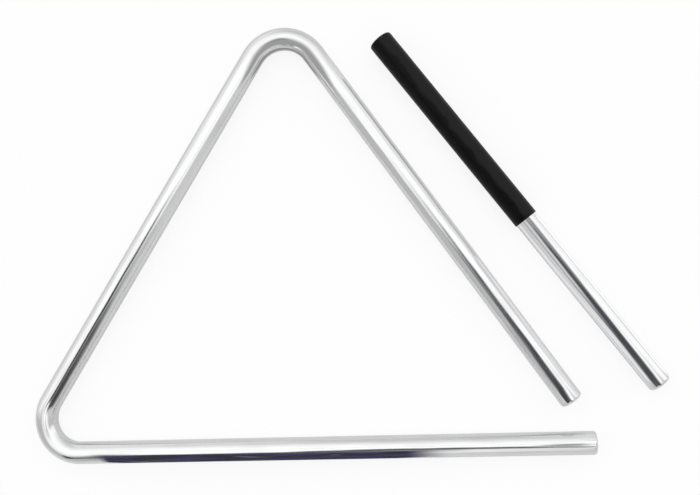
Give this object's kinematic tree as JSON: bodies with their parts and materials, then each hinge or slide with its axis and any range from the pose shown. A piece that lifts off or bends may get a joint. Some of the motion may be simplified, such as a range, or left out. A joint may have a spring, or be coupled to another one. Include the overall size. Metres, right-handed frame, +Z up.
{
  "type": "triangle instrument",
  "caption": "Hand-held musical triangle: a round chromed bar bent at two corners and open at the third, with a straight chromed beater that has a black grip.",
  "frame": {"origin": "middle of the box round the triangle and its beater as they lie, at the height of the surface they lie on", "axes": "+X along the bottom leg towards its open end, +Y from the bottom leg to the top bend, +Z up from the surface"},
  "size_m": [0.2818, 0.1928, 0.0109],
  "materials": {
    "chromed_bar": "bright chrome plate over a round steel bar, with faint polishing marks along it",
    "chromed_rod": "bright chrome plate over a straight steel rod, the same stock as the bar",
    "black_sleeve": "matt black moulded sleeve with a fine grain"
  },
  "bodies": {
    "triangle": {"triangle_bar": "chromed_bar"},
    "beater": {"beater_rod": "chromed_rod", "beater_grip": "black_sleeve"}
  },
  "joints": [
    {"name": "beater_lift", "type": "slide", "parent": "triangle", "child": "beater", "axis": [0, 0, 1], "range_m": [0, 0.15]}
  ]
}
